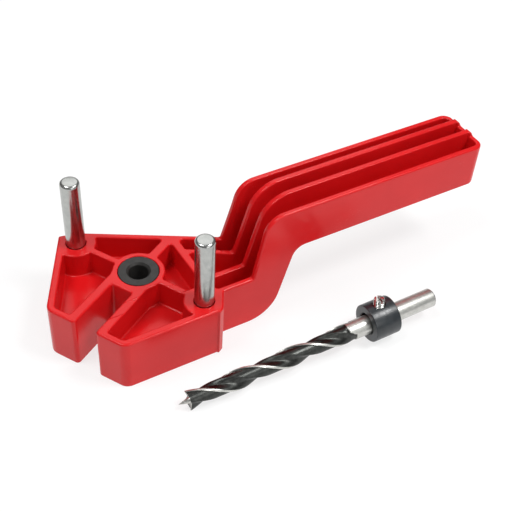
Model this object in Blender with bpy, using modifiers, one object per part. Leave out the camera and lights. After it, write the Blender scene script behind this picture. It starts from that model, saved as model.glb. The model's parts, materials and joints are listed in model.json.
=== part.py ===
"""Hand-held dowel jig with its drill: moulded body, bush, two guide pins, drill, stop collar.

Metres, +Z up.  The jig lies on its back, work face up, and the drill lies beside the handle.
Two flat frames share the bush axis: the head frame (x along the sight slot, y through the
pins) and the grip frame (u along the handle, v across it), which is turned by GRIP_TURN.
"""
import math

import bmesh
import bpy
from mathutils import Matrix, Vector

# Head
HEAD_THICK = 0.0245          # work face to back face
PIN_REACH = 0.0310           # bush axis to each pin axis
NOSE_X = -0.0361             # flat end of the head
NOSE_HALF = 0.0182
SIDE_Y = 0.0399              # the outer sides reach this at the pins
SLOT_HALF = 0.0048           # sight slot, open at the nose
SLOT_END_X = -0.0115
BACK_REACH = 0.0218          # bush axis to the two rear sides
BACK_TURN = math.radians(30.0)
SHOULDER_X = 0.0053          # short side behind the left pin's corner
NOSE_CORNER_R = 0.0048
CORNER_X = -0.0005           # corner beside the left pin
CORNER_R = 0.0008
SHOULDER_R = 0.0030
SLOT_LIP_R = 0.0016
BEAD_START_X = -0.0020       # small bead up the corner beside the right pin
BEAD_END_X = 0.0007
BEAD_RISE = 0.0008
BEAD_R = 0.0003
SLOT_CORNER_R = 0.0010

# Moulding walls
RIB = 0.0023
OUTER_WALL = 0.0031          # side walls of the head
NOSE_WALL = 0.0027
REAR_WALL = 0.0027
CROSS_WALL = 0.0035          # between head pockets and handle channels
WEB = 0.0025                 # mid web that closes every pocket
BUSH_BOSS_R = 0.0107
PIN_BOSS_R = 0.0083
SLOT_WALL_Y = 0.0087         # outer face of the walls beside the slot
AXIS_RIB_HALF = 0.0021       # rib from the bush boss to the rear corner
PIN_RIB_HALF = 0.0014        # ribs from the bush boss to the pin bosses
POCKET_R = 0.0010            # tight corners of pockets and channels
POCKET_NOSE_R = 0.0020
CHANNEL_ROOT_R = 0.0015
CHANNEL_END_R = 0.0022
WEB_BEND_R = 0.0060

# Handle, in the grip frame
GRIP_TURN = math.radians(-30.7)
GRIP_END_U = 0.1516
NEAR_V = -0.0257
FAR_V = 0.0008
GRIP_LOW = 0.0340            # underside and top of the outer walls
GRIP_HIGH = 0.0538
CROWN = 0.0025               # inner ribs stand this much prouder
RIB_ROOT_U = 0.0392          # an inner rib's own ramp starts here, on the work face
RIB_RUN = 0.287              # and moves this much towards the grip's end per unit of rise
RIB_BEND_R = 0.0140
ROOT_TOP_U = 0.0386          # foot of the ramp on the work face
RAMP_TOP_RUN = 0.2044        # run for each unit of rise
ROOT_LOW_U = 0.0485
RAMP_LOW_RUN = 0.2800
NEAR_RIB_V = -0.0161         # middles of the two inner ribs
FAR_RIB_V = -0.0079
FAR_RIB_ROOT = 0.0125        # reach of the far rib's root, measured like BACK_REACH
ROOT_BEND_R = 0.0040         # far wall and far rib, where they leave the head
STEP_R = 0.0005              # near wall meets the pin corner
END_CORNER_R = 0.0045
HEEL_R = 0.0145              # side outline: underside of the root
LOW_BEND_R = 0.0060
HIGH_BEND_R = 0.0090
FOOT_R = 0.0008
END_LOW_R = 0.0043
END_HIGH_R = 0.0012
CROWN_END_R = 0.0030
CROWN_EASE = 0.0004          # crowns stay this far inside the ends and ramps they join
CROWN_INNER_LOW = 0.0270     # inner corners of a crown, inside the ramp
CROWN_INNER_HIGH = 0.0440
SPACE_FOOT_RISE = 0.0003     # the space over a rib starts this much above the work face
RIB_SPACE_START_U = 0.0300
RIB_SPACE_END_U = 0.0800
FAR_SPACE_V = -0.0030        # far side of the space over the far rib, inside its channel
CROWN_EXTRA = 0.00025        # a crown laps this much into the channels on each side

# Bush and pins
BUSH_R = 0.0083
BUSH_BORE_R = 0.0041
FIT_GAP = 0.00015            # radial gap that stands for a press fit
PIN_R = 0.0040
PIN_STAND = 0.0325           # above the work face
PIN_DEPTH = 0.0180

# Drill, stop collar and set screw
DRILL_R = 0.0040
DRILL_LENGTH = 0.1180
FLUTE_LENGTH = 0.0785        # tip to the end of the run-out
RUN_OUT = 0.0070
HELIX_PITCH = 0.0475
LAND_LENGTH = 0.0755         # tip to the end of the relieved lands
LAND_RUN_OUT = 0.0010
LAND_START = math.radians(155.4)
LAND_HALF = math.radians(42.0)
MARGIN = math.radians(13.0)  # full-diameter edge that leads each land
MARGIN_STEP = math.radians(2.0)
LAND_RELIEF = 0.16           # behind the margin, share of the radius
FLUTE_DEPTH = 0.38           # share of the radius
FLUTE_SHAPE = 1.3            # above 1 the flute's rims are softer
SPUR_S = 0.0039              # spurs stand this far behind the point
GROOVE_S = 0.0050
POINT_R = 0.0015
COLLAR_R = 0.0081
COLLAR_BORE_R = 0.0046
COLLAR_WIDTH = 0.0120
COLLAR_S = 0.0912            # tip to the middle of the collar
COLLAR_SHIFT = 0.0004        # the screw draws the collar off the shank's axis
SCREW_R = 0.0024
SCREW_FOOT = 0.0042          # radius of the screw's foot and head from the shank's axis
SCREW_HEAD = 0.0113
SCREW_TILT = math.radians(-8.0)
TIP_U, TIP_V = -0.0090, -0.0531
DRILL_YAW = math.radians(-1.5)
FRONT_CONTACT_S = 0.0049     # where the drill first touches the bench

SWEEP = 0.001                # how far cutters run past the faces they cut
SPACE_START_U = -0.085       # box that holds the whole body, in the grip frame
SPACE_HALF_V = 0.060
SPACE_LOW = -0.020
SPACE_HIGH = 0.080
ARC_STEP = math.radians(15.0)
ROUND_STEPS = 36
FLUTE_SIDES = 8
DRILL_RINGS = 60


def clear_scene():
    for obj in list(bpy.data.objects):
        bpy.data.objects.remove(obj, do_unlink=True)


def new_collection(name):
    collection = bpy.data.collections.new(name)
    bpy.context.scene.collection.children.link(collection)
    return collection


clear_scene()
PARTS = new_collection("dowel_jig")
CUTTERS = new_collection("cutters")


def material(name, colour, roughness, metallic):
    mat = bpy.data.materials.new(name)
    mat.use_nodes = True
    shader = mat.node_tree.nodes["Principled BSDF"]
    shader.inputs["Base Color"].default_value = (*colour, 1.0)
    shader.inputs["Roughness"].default_value = roughness
    shader.inputs["Metallic"].default_value = metallic
    return mat


def add_object(name, mesh, collection):
    obj = bpy.data.objects.new(name, mesh)
    collection.objects.link(obj)
    if collection is CUTTERS:
        obj.hide_render = True
        obj.display_type = "WIRE"
    return obj


# ---------------------------------------------------------------- outlines

def rounded(corners):
    """Outline through (x, y) or (x, y, radius) corners, each radius as a tangent arc."""
    points = []
    for i, corner in enumerate(corners):
        here = Vector(corner[:2])
        before = (Vector(corners[i - 1][:2]) - here).normalized()
        after = (Vector(corners[(i + 1) % len(corners)][:2]) - here).normalized()
        if len(corner) == 2:
            points.append(here)
            continue
        half = before.angle(after) / 2.0
        bisector = (before + after).normalized()
        centre = here + bisector * (corner[2] / math.sin(half))
        start = here + before * (corner[2] / math.tan(half)) - centre
        sweep = math.pi - 2.0 * half
        if before.x * after.y - before.y * after.x > 0.0:
            sweep = -sweep
        steps = max(2, math.ceil(abs(sweep) / ARC_STEP))
        for k in range(steps + 1):
            points.append(centre + Matrix.Rotation(sweep * k / steps, 2) @ start)
    return points


def plate(name, outlines, low, high, collection=CUTTERS, upright=False):
    """Flat outlines extruded from low to high: along +Z, or across the handle if upright."""
    curve = bpy.data.curves.new(name, "CURVE")
    curve.dimensions = "2D"
    curve.fill_mode = "BOTH"
    curve.extrude = (high - low) / 2.0
    for outline in outlines:
        spline = curve.splines.new("POLY")
        spline.points.add(len(outline) - 1)
        for point, (x, y) in zip(spline.points, outline):
            point.co = (x, y, 0.0, 1.0)
        spline.use_cyclic_u = True
    drawn = bpy.data.objects.new(name, curve)
    PARTS.objects.link(drawn)
    bpy.context.view_layer.update()
    graph = bpy.context.evaluated_depsgraph_get()
    mesh = bpy.data.meshes.new_from_object(drawn.evaluated_get(graph))
    bpy.data.objects.remove(drawn, do_unlink=True)
    mesh.transform(Matrix.Translation((0.0, 0.0, (low + high) / 2.0)))
    if upright:
        mesh.transform(Matrix(((1, 0, 0, 0), (0, 0, -1, 0), (0, 1, 0, 0), (0, 0, 0, 1))))
    shape = bmesh.new()
    shape.from_mesh(mesh)
    bmesh.ops.remove_doubles(shape, verts=shape.verts, dist=1e-6)
    bmesh.ops.recalc_face_normals(shape, faces=shape.faces)
    shape.to_mesh(mesh)
    shape.free()
    return add_object(name, mesh, collection)


def turned(name, profile, collection=CUTTERS, steps=ROUND_STEPS):
    """Round solid about Z from (radius, height) points running down its outer side."""
    mesh = bpy.data.meshes.new(name)
    count = len(profile)
    closed = profile[0][0] > 0.0
    edges = [(i, i + 1) for i in range(count - 1)]
    if closed:
        edges.append((count - 1, 0))
    mesh.from_pydata([(radius, 0.0, height) for radius, height in profile], edges, [])
    obj = add_object(name, mesh, collection)
    screw = obj.modifiers.new("turn", "SCREW")
    screw.axis = "Z"
    screw.steps = screw.render_steps = steps
    screw.use_merge_vertices = True
    screw.merge_threshold = 0.00001
    return obj


def boolean(obj, operation, other):
    modifier = obj.modifiers.new(f"{operation.lower()}_{other.name}", "BOOLEAN")
    modifier.operation = operation
    modifier.object = other


def finish(obj, mat, smooth=True):
    obj.data.materials.clear()
    obj.data.materials.append(mat)
    if smooth:
        obj.data.shade_smooth()
        obj.data.set_sharp_from_angle(angle=math.radians(30.0))


# ------------------------------------------------------------------ frames

def to_grip(x, y):
    """Head frame to grip frame."""
    cos, sin = math.cos(GRIP_TURN), math.sin(GRIP_TURN)
    return cos * x + sin * y, -sin * x + cos * y


def head_corners(corners):
    return [(*to_grip(c[0], c[1]), *c[2:]) for c in corners]


def far_line_u(reach, v):
    """u of the point at v on the line that runs beside the far rear side of the head."""
    angle = BACK_TURN - GRIP_TURN
    return (reach - v * math.sin(angle)) / math.cos(angle)


def far_line_v(reach, u):
    angle = BACK_TURN - GRIP_TURN
    return (reach - u * math.cos(angle)) / math.sin(angle)


# -------------------------------------------------------------------- body

def body_plan():
    """Plan outline of the head and handle together, in the grip frame."""
    shoulder_y = (BACK_REACH - SHOULDER_X * math.cos(BACK_TURN)) / math.sin(BACK_TURN)
    slot = head_corners([(NOSE_X, -SLOT_HALF, SLOT_LIP_R),
                         (SLOT_END_X, -SLOT_HALF, SLOT_CORNER_R),
                         (SLOT_END_X, SLOT_HALF, SLOT_CORNER_R),
                         (NOSE_X, SLOT_HALF, SLOT_LIP_R)])
    far_side = head_corners([(NOSE_X, NOSE_HALF, NOSE_CORNER_R),
                             (CORNER_X, side_line_y(CORNER_X), CORNER_R),
                             (SHOULDER_X, shoulder_y, SHOULDER_R)])
    handle = [(far_line_u(BACK_REACH, FAR_V), FAR_V, ROOT_BEND_R),
              (GRIP_END_U, FAR_V, END_CORNER_R), (GRIP_END_U, NEAR_V, END_CORNER_R)]
    corner_u, corner_v = to_grip(0.0, -SIDE_Y)
    step_u = corner_u + (NEAR_V - corner_v) / math.tan(BACK_TURN - GRIP_TURN)
    bead_y = side_line_y(BEAD_START_X) + BEAD_RISE
    near_side = [(step_u, NEAR_V, STEP_R),
                 *head_corners([(BEAD_END_X, -bead_y, CORNER_R),
                                (BEAD_START_X, -bead_y, BEAD_R),
                                (BEAD_START_X, -side_line_y(BEAD_START_X), BEAD_R),
                                (NOSE_X, -NOSE_HALF, NOSE_CORNER_R)])]
    return rounded(slot + far_side + handle + near_side)


def side_line_y(x):
    """Distance of the head's outer side from its middle line."""
    return NOSE_HALF + (x - NOSE_X) * (SIDE_Y - NOSE_HALF) / (0.0 - NOSE_X)


def ramp_top_u(z):
    return ROOT_TOP_U + (z - HEAD_THICK) * RAMP_TOP_RUN


def ramp_low_u(z):
    return ROOT_LOW_U + z * RAMP_LOW_RUN


def rib_top_u(z):
    return RIB_ROOT_U + (z - HEAD_THICK) * RIB_RUN


def body_side():
    """Side outline (u, z): flat head, ramp up behind it, level grip."""
    end = GRIP_END_U + CROWN_EASE
    return rounded([(SPACE_START_U, 0.0), (ROOT_LOW_U, 0.0, HEEL_R),
                    (ramp_low_u(GRIP_LOW), GRIP_LOW, LOW_BEND_R),
                    (end, GRIP_LOW, END_LOW_R), (end, GRIP_HIGH, END_HIGH_R),
                    (ramp_top_u(GRIP_HIGH), GRIP_HIGH, HIGH_BEND_R),
                    (ROOT_TOP_U, HEAD_THICK, FOOT_R), (SPACE_START_U, HEAD_THICK)])


def crown_side():
    """Side outline of an inner rib, proud of the outer walls along the grip."""
    low, high = GRIP_LOW - CROWN, GRIP_HIGH + CROWN
    end = GRIP_END_U - CROWN_EASE
    return rounded([(ramp_low_u(CROWN_INNER_LOW) - CROWN_EASE, CROWN_INNER_LOW),
                    (ramp_low_u(low), low, LOW_BEND_R),
                    (end, low, CROWN_END_R), (end, high, CROWN_END_R),
                    (rib_top_u(high), high, RIB_BEND_R),
                    (rib_top_u(CROWN_INNER_HIGH), CROWN_INNER_HIGH)])


def rib_space():
    """Side outline of the empty space over an inner rib, which leans back more than the walls."""
    foot, high = HEAD_THICK + SPACE_FOOT_RISE, GRIP_HIGH + CROWN
    return rounded([(RIB_SPACE_START_U, foot), (rib_top_u(foot), foot),
                    (rib_top_u(high), high, RIB_BEND_R), (RIB_SPACE_END_U, high),
                    (RIB_SPACE_END_U, high + SWEEP), (RIB_SPACE_START_U, high + SWEEP)])


def web_line(side):
    """Upper (+1) or lower (-1) face of the mid web, root to grip end, as (u, z) corners."""
    run = (RAMP_TOP_RUN + RAMP_LOW_RUN) / 2.0
    mid_z = (HEAD_THICK + GRIP_LOW) / 2.0
    mid_u = (ramp_top_u(mid_z) + ramp_low_u(mid_z)) / 2.0
    half = side * WEB / 2.0
    face_u = mid_u - half * math.hypot(1.0, run)
    low_z = HEAD_THICK / 2.0 + half
    high_z = (GRIP_LOW + GRIP_HIGH) / 2.0 + half
    return [(face_u + (low_z - mid_z) * run, low_z, WEB_BEND_R),
            (face_u + (high_z - mid_z) * run, high_z, WEB_BEND_R)]


def pocket_space(name, side):
    """All the space above (+1) or below (-1) the mid web."""
    lower, upper = web_line(side)
    end = GRIP_END_U + SWEEP
    outside = SPACE_HIGH if side > 0 else SPACE_LOW
    outline = rounded([(SPACE_START_U, lower[1]), lower, upper, (end, upper[1]),
                       (end, outside), (SPACE_START_U, outside)])
    return plate(name, [outline], -SPACE_HALF_V, SPACE_HALF_V, upright=True)


def head_pockets():
    """Four pockets, mirrored about the slot; the bosses are left standing in them."""
    side_slope = (SIDE_Y - NOSE_HALF) / (0.0 - NOSE_X)
    wall_drop = OUTER_WALL * math.hypot(1.0, side_slope)
    nose_x = NOSE_X + NOSE_WALL
    nose_y = side_line_y(nose_x) - wall_drop

    rear = BACK_REACH - REAR_WALL
    rib_end_x = (rear - AXIS_RIB_HALF * math.sin(BACK_TURN)) / math.cos(BACK_TURN)
    rear_y = (rear - PIN_RIB_HALF * math.cos(BACK_TURN)) / math.sin(BACK_TURN)
    front = [(nose_x, SLOT_WALL_Y, POCKET_R), (-PIN_RIB_HALF, SLOT_WALL_Y),
             (-PIN_RIB_HALF, side_line_y(-PIN_RIB_HALF) - wall_drop),
             (nose_x, nose_y, POCKET_NOSE_R)]
    back = [(PIN_RIB_HALF, AXIS_RIB_HALF), (rib_end_x, AXIS_RIB_HALF, POCKET_R),
            (PIN_RIB_HALF, rear_y)]
    outlines = []
    for half in (front, back):
        for sign in (1.0, -1.0):
            mirrored = [(c[0], sign * c[1], *c[2:]) for c in half]
            outlines.append(rounded(head_corners(mirrored)))
    return outlines


def handle_channels():
    """Three channels between the four walls of the handle."""
    start = BACK_REACH - REAR_WALL + CROSS_WALL
    end = GRIP_END_U - RIB
    half = RIB / 2.0
    far_wall = BACK_REACH - RIB
    far_rib_out, far_rib_in = FAR_RIB_ROOT + half, FAR_RIB_ROOT - half
    far_v, rib_top, rib_low = FAR_V - RIB, FAR_RIB_V + half, FAR_RIB_V - half
    near_top, near_low = NEAR_RIB_V + half, NEAR_RIB_V - half
    far = [(start, far_line_v(far_rib_out, start), POCKET_R),
           (start, far_line_v(far_wall, start), CHANNEL_ROOT_R),
           (far_line_u(far_wall, far_v), far_v, ROOT_BEND_R),
           (end, far_v, CHANNEL_END_R), (end, rib_top, POCKET_R),
           (far_line_u(far_rib_out, rib_top), rib_top, ROOT_BEND_R)]
    middle = [(start, near_top, POCKET_R), (start, far_line_v(far_rib_in, start), POCKET_R),
              (far_line_u(far_rib_in, rib_low), rib_low, ROOT_BEND_R),
              (end, rib_low, POCKET_R), (end, near_top, POCKET_R)]
    near = [(start, NEAR_V + RIB, CHANNEL_ROOT_R), (start, near_low, POCKET_R),
            (end, near_low, POCKET_R), (end, NEAR_V + RIB, CHANNEL_END_R)]
    return [rounded(far), rounded(middle), rounded(near)]


def post(name, x, y, radius, low, high):
    """Upright cylinder at a point of the head frame, drawn in the grip frame."""
    obj = turned(name, [(0.0, high), (radius, high), (radius, low), (0.0, low)])
    obj.location = (*to_grip(x, y), 0.0)
    return obj


def make_body():
    body = plate("jig_body", [body_plan()], -SWEEP, GRIP_HIGH + CROWN, PARTS)
    side = plate("side_shape", [body_side()], -SPACE_HALF_V, SPACE_HALF_V, upright=True)
    boolean(body, "INTERSECT", side)
    board_half = RIB / 2.0 + CROWN_EXTRA
    for name, v in (("near_crown", NEAR_RIB_V), ("far_crown", FAR_RIB_V)):
        board = plate(name, [crown_side()], -v - board_half, -v + board_half, upright=True)
        boolean(body, "UNION", board)
    for name, low_v, high_v in (("near_rib_space", NEAR_RIB_V - board_half,
                                 NEAR_RIB_V + board_half),
                                ("far_rib_space", FAR_RIB_V - board_half, FAR_SPACE_V)):
        space = plate(name, [rib_space()], -high_v, -low_v, upright=True)
        boolean(body, "DIFFERENCE", space)
    bosses = [post(name, 0.0, y, radius, SPACE_LOW, SPACE_HIGH) for name, y, radius in
              (("bush_boss", 0.0, BUSH_BOSS_R), ("left_pin_boss", PIN_REACH, PIN_BOSS_R),
               ("right_pin_boss", -PIN_REACH, PIN_BOSS_R))]
    outlines = head_pockets() + handle_channels()
    for name, face in (("top_pockets", 1), ("bottom_pockets", -1)):
        pockets = plate(name, outlines, SPACE_LOW + SWEEP, SPACE_HIGH - SWEEP)
        boolean(pockets, "INTERSECT", pocket_space(f"{name}_space", face))
        for obj in bosses:
            boolean(pockets, "DIFFERENCE", obj)
        boolean(body, "DIFFERENCE", pockets)
    top = HEAD_THICK + SWEEP
    boolean(body, "DIFFERENCE", post("bush_hole", 0.0, 0.0, BUSH_R + FIT_GAP, -SWEEP, top))
    foot = HEAD_THICK - PIN_DEPTH - FIT_GAP
    for name, y in (("left_pin_hole", PIN_REACH), ("right_pin_hole", -PIN_REACH)):
        boolean(body, "DIFFERENCE", post(name, 0.0, y, PIN_R + FIT_GAP, foot, top))
    red = material("moulded_red", (0.62, 0.012, 0.016), roughness=0.32, metallic=0.0)
    finish(body, red, smooth=False)
    return body


# ----------------------------------------------------------- bush and pins

def make_bush():
    """Flush steel bush with countersunk mouths at both ends."""
    mouth, edge = 0.0009, 0.0003
    profile = [(BUSH_BORE_R + mouth, HEAD_THICK), (BUSH_R - edge, HEAD_THICK),
               (BUSH_R, HEAD_THICK - edge), (BUSH_R, edge), (BUSH_R - edge, 0.0),
               (BUSH_BORE_R + mouth, 0.0), (BUSH_BORE_R, mouth),
               (BUSH_BORE_R, HEAD_THICK - mouth)]
    bush = turned("drill_bush", profile, PARTS)
    finish(bush, material("blackened_steel", (0.035, 0.040, 0.042), roughness=0.35, metallic=0.9))
    return bush


def make_pin(name, y, mat):
    """Pressed-in pin with a rounded-off end; its origin is on the work face."""
    edge, ease = 0.0010, 0.0003
    profile = [(0.0, PIN_STAND), (PIN_R - edge, PIN_STAND),
               (PIN_R - ease, PIN_STAND - ease), (PIN_R, PIN_STAND - edge),
               (PIN_R, edge - PIN_DEPTH), (PIN_R - edge, -PIN_DEPTH), (0.0, -PIN_DEPTH)]
    pin = turned(name, profile, PARTS, steps=32)
    pin.location = (0.0, y, HEAD_THICK)
    finish(pin, mat)
    return pin


# ------------------------- drill set, about Z with the drill's point at z = 0

def section_angles():
    """Angles of a drill section's corners; each half is a margin, a land and a flute."""
    margin_end = MARGIN - LAND_HALF
    half = [-LAND_HALF, (margin_end - LAND_HALF) / 2.0, margin_end, margin_end + MARGIN_STEP,
            0.0, LAND_HALF / 2.0, LAND_HALF]
    flute = math.pi - 2.0 * LAND_HALF
    half += [LAND_HALF + flute * k / FLUTE_SIDES for k in range(1, FLUTE_SIDES)]
    return half + [angle + math.pi for angle in half]


def section_radius(angle, land_fade, flute_fade):
    """Radius at an angle from the middle of a land; the fades go from 0 to 1."""
    local = (angle + math.pi / 2.0) % math.pi - math.pi / 2.0
    if -LAND_HALF <= local <= LAND_HALF:
        behind = local > MARGIN - LAND_HALF + MARGIN_STEP / 2.0
        return DRILL_R * (1.0 - (LAND_RELIEF * land_fade if behind else 0.0))
    run = min(1.0, (local - LAND_HALF) % math.pi / (math.pi - 2.0 * LAND_HALF))
    hollow = FLUTE_DEPTH * math.sin(math.pi * run) ** FLUTE_SHAPE if run < 1.0 else 0.0
    return DRILL_R * (1.0 - LAND_RELIEF * (1.0 - run) * land_fade - hollow * flute_fade)


def drill_ring(shape, z, radius_at):
    turn = LAND_START + 2.0 * math.pi * min(z, FLUTE_LENGTH) / HELIX_PITCH
    ring = []
    for angle in section_angles():
        radius = radius_at(angle)
        ring.append(shape.verts.new((radius * math.cos(angle + turn),
                                     radius * math.sin(angle + turn), z)))
    return ring


def make_drill(mat):
    """Twisted flutes that run out into a plain shank; a turned groove leaves point and spurs."""
    shape = bmesh.new()
    rings = []
    for i in range(DRILL_RINGS + 1):
        z = -SWEEP + (FLUTE_LENGTH + SWEEP) * i / DRILL_RINGS
        flute = 1.0 - min(1.0, (FLUTE_LENGTH - z) / RUN_OUT)
        flute_fade = math.sqrt(1.0 - flute * flute)
        land_fade = min(1.0, max(0.0, (LAND_LENGTH - z) / LAND_RUN_OUT))
        rings.append(drill_ring(shape, z,
                                lambda angle: section_radius(angle, land_fade, flute_fade)))
    chamfer = 0.0008
    rings.append(drill_ring(shape, DRILL_LENGTH - chamfer, lambda angle: DRILL_R))
    rings.append(drill_ring(shape, DRILL_LENGTH, lambda angle: DRILL_R - chamfer))
    for below, above in zip(rings, rings[1:]):
        for k in range(len(below)):
            after = (k + 1) % len(below)
            shape.faces.new((below[k], below[after], above[after], above[k]))
    shape.faces.new(rings[0][::-1])
    shape.faces.new(rings[-1])
    mesh = bpy.data.meshes.new("drill_bit")
    shape.to_mesh(mesh)
    shape.free()
    drill = add_object("drill_bit", mesh, PARTS)
    outside, front = DRILL_R + 0.0020, -0.004
    groove = turned("point_groove", [(0.0, 0.0), (POINT_R, GROOVE_S), (DRILL_R, SPUR_S),
                                     (outside, SPUR_S), (outside, front), (0.0, front)])
    boolean(drill, "DIFFERENCE", groove)
    finish(drill, mat)
    return drill, groove


def make_collar():
    """Stop ring drawn off the shank's axis by its screw, bored for it along +X."""
    half, edge = COLLAR_WIDTH / 2.0, 0.0004
    profile = [(COLLAR_BORE_R + edge, half), (COLLAR_R - edge, half), (COLLAR_R, half - edge),
               (COLLAR_R, edge - half), (COLLAR_R - edge, -half), (COLLAR_BORE_R + edge, -half),
               (COLLAR_BORE_R, edge - half), (COLLAR_BORE_R, half - edge)]
    collar = turned("stop_collar", profile, PARTS)
    collar.location = (COLLAR_SHIFT, 0.0, COLLAR_S)
    bore_r, outer, inner = SCREW_R + FIT_GAP, COLLAR_R + SWEEP, COLLAR_BORE_R / 2.0
    tapped = turned("screw_hole", [(0.0, outer), (bore_r, outer), (bore_r, inner), (0.0, inner)],
                    steps=24)
    lay_on_x(tapped)
    boolean(collar, "DIFFERENCE", tapped)
    finish(collar, material("black_oxide", (0.022, 0.026, 0.028), roughness=0.38, metallic=0.8))
    return collar, tapped


def lay_on_x(obj):
    """Turn a piece made about Z to lie along +X through the middle of the collar."""
    obj.location = (0.0, 0.0, COLLAR_S)
    obj.rotation_euler = (0.0, math.pi / 2.0, 0.0)


def make_screw():
    """Slotted set screw; its origin is on the shank's axis, under its own."""
    edge, slot_half, slot_depth = 0.0005, 0.0004, 0.0013
    slot_reach = SCREW_R + SWEEP
    profile = [(0.0, SCREW_HEAD), (SCREW_R - edge, SCREW_HEAD), (SCREW_R, SCREW_HEAD - edge),
               (SCREW_R, SCREW_FOOT + edge), (SCREW_R - edge, SCREW_FOOT), (0.0, SCREW_FOOT)]
    screw = turned("set_screw", profile, PARTS, steps=24)
    slot = plate("screw_slot", [[(-slot_half, -slot_reach), (slot_half, -slot_reach),
                                 (slot_half, slot_reach), (-slot_half, slot_reach)]],
                 SCREW_HEAD - slot_depth, SCREW_HEAD + SWEEP)
    boolean(screw, "DIFFERENCE", slot)
    for obj in (screw, slot):
        lay_on_x(obj)
    finish(screw, material("zinc_steel", (0.60, 0.60, 0.58), roughness=0.30, metallic=1.0))
    return screw, slot


# --------------------------------------------------------------- placement

def empty(name, parent=None):
    obj = bpy.data.objects.new(name, None)
    PARTS.objects.link(obj)
    obj.parent = parent
    return obj


def drill_axis_matrix():
    """Pose of the drill: its point near the head, its collar propping up the shank."""
    face_s = COLLAR_S - COLLAR_WIDTH / 2.0
    rise = COLLAR_R - COLLAR_SHIFT - DRILL_R
    pitch = math.atan2(rise, face_s - FRONT_CONTACT_S)
    turn = GRIP_TURN + DRILL_YAW
    flat = Vector((math.cos(turn), math.sin(turn), 0.0))
    along = flat * math.cos(pitch) + Vector((0.0, 0.0, math.sin(pitch)))
    level = Vector((0.0, 0.0, 1.0)).cross(along).normalized()
    up = Matrix.Rotation(SCREW_TILT, 3, along) @ along.cross(level)
    grip = Matrix.Rotation(GRIP_TURN, 2) @ Vector((TIP_U, TIP_V))
    height = DRILL_R * math.cos(pitch) - FRONT_CONTACT_S * math.sin(pitch)
    pose = Matrix((up, along.cross(up), along)).transposed().to_4x4()
    return Matrix.Translation((grip.x, grip.y, height)) @ pose


def centre_on_base(frame):
    """Shift the whole model so that the origin is the middle of its box's underside."""
    bpy.context.view_layer.update()
    graph = bpy.context.evaluated_depsgraph_get()
    corners = []
    for obj in PARTS.objects:
        if obj.type == "MESH":
            shown = obj.evaluated_get(graph)
            corners += [shown.matrix_world @ vert.co for vert in shown.data.vertices]
    for axis in (0, 1):
        values = [corner[axis] for corner in corners]
        frame.location[axis] = -(min(values) + max(values)) / 2.0


def main():
    frame = empty("head_frame")
    grip_frame = empty("grip_frame", frame)
    grip_frame.rotation_euler = (0.0, 0.0, GRIP_TURN)
    make_body()
    for obj in [*CUTTERS.objects, *PARTS.objects]:
        if obj.type == "MESH":
            obj.parent = grip_frame

    bright = material("ground_steel", (0.62, 0.61, 0.59), roughness=0.22, metallic=1.0)
    for obj in (make_bush(), make_pin("guide_pin_left", PIN_REACH, bright),
                make_pin("guide_pin_right", -PIN_REACH, bright)):
        obj.parent = frame

    drill_axis = empty("drill_axis", frame)
    drill_axis.matrix_local = drill_axis_matrix()
    for pieces in (make_drill(bright), make_collar(), make_screw()):
        for obj in pieces:
            obj.parent = drill_axis
    centre_on_base(frame)


main()
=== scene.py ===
"""Dowel jig with its drill: fine surfaces, finishes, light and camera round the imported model.

Metres, +Z up.  The moulded body is meshed from a distance field, so that its edges are rounded
and its corners filleted as a moulding's are.  The steel pieces are lathed or lofted.  The head
frame has its origin under the bush axis, x along the sight slot and y through the guide pins; the
grip frame (u, v) is the same frame turned by GRIP_TURN, with u along the handle.
"""
import json
import math

import bmesh
import bpy
import numpy as np
from mathutils import Matrix, Vector


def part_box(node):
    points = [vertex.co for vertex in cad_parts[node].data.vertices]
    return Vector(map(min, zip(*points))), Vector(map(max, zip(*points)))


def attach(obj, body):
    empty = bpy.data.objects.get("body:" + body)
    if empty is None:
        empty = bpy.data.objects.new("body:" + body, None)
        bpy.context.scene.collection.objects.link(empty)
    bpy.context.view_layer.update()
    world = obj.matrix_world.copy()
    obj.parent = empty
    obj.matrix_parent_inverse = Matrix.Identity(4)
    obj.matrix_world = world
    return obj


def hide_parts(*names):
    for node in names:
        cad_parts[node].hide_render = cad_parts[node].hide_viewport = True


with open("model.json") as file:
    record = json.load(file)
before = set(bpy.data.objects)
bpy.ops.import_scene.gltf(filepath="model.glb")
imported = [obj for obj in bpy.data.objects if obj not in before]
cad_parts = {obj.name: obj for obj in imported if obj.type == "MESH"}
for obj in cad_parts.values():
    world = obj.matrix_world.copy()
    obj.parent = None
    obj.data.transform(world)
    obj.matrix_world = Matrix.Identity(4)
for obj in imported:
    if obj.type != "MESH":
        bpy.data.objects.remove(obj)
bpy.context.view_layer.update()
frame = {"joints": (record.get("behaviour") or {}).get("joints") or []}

# ------------------------------------------------------------------ places
bush_low, bush_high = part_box("drill_bush")
BUSH_AXIS = (bush_low + bush_high) / 2.0
HEAD_THICK = bush_high.z
BUSH_R = (bush_high.x - bush_low.x) / 2.0
left_low, left_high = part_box("guide_pin_left")
PIN_REACH = (left_low.y + left_high.y) / 2.0 - BUSH_AXIS.y
PIN_R = (left_high.x - left_low.x) / 2.0
PIN_FOOT = left_low.z
JOINTS = {joint["name"]: joint for joint in frame["joints"]}

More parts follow.
